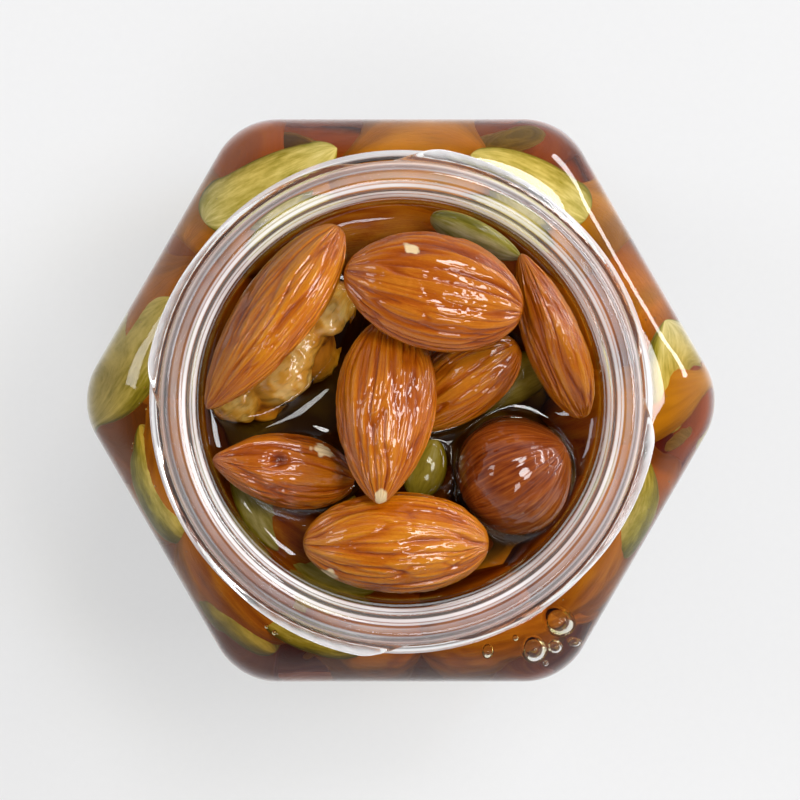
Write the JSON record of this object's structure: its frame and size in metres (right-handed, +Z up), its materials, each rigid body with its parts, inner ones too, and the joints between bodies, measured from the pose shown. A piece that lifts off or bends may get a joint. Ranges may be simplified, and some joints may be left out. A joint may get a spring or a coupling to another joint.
{
  "type": "honey jar",
  "caption": "Open hexagonal glass jar with rounded corners and a round threaded neck, filled with whole nuts and seed kernels in honey.",
  "frame": {"origin": "centre of the jar's base, on the surface that it stands on", "axes": "+Z up out of the mouth; +Y square to a flat side, the top of the pictured view; +X through a corner, the right of that view"},
  "size_m": [0.0742, 0.0664, 0.083],
  "materials": {
    "clear_glass": "clear moulded glass, polished by fire",
    "honey": "clear amber honey",
    "mixed_nuts": "nuts and seed kernels sunk in honey",
    "almond_skin": "ridged brown skin wet with honey",
    "hazelnut_skin": "streaked red-brown skin wet with honey",
    "walnut_skin": "pale folded kernel wet with honey",
    "pumpkin_kernel": "smooth green kernel wet with honey"
  },
  "bodies": {
    "root": {"jar": "clear_glass", "nut_heap": "mixed_nuts", "almond_bottom": "almond_skin", "almond_centre": "almond_skin", "almond_left": "almond_skin", "almond_lower_left": "almond_skin", "almond_middle_right": "almond_skin", "almond_right": "almond_skin", "almond_top": "almond_skin", "hazelnut": "hazelnut_skin", "walnut_half": "walnut_skin", "pumpkin_seed_middle": "pumpkin_kernel", "pumpkin_seed_top": "pumpkin_kernel"}
  },
  "joints": []
}
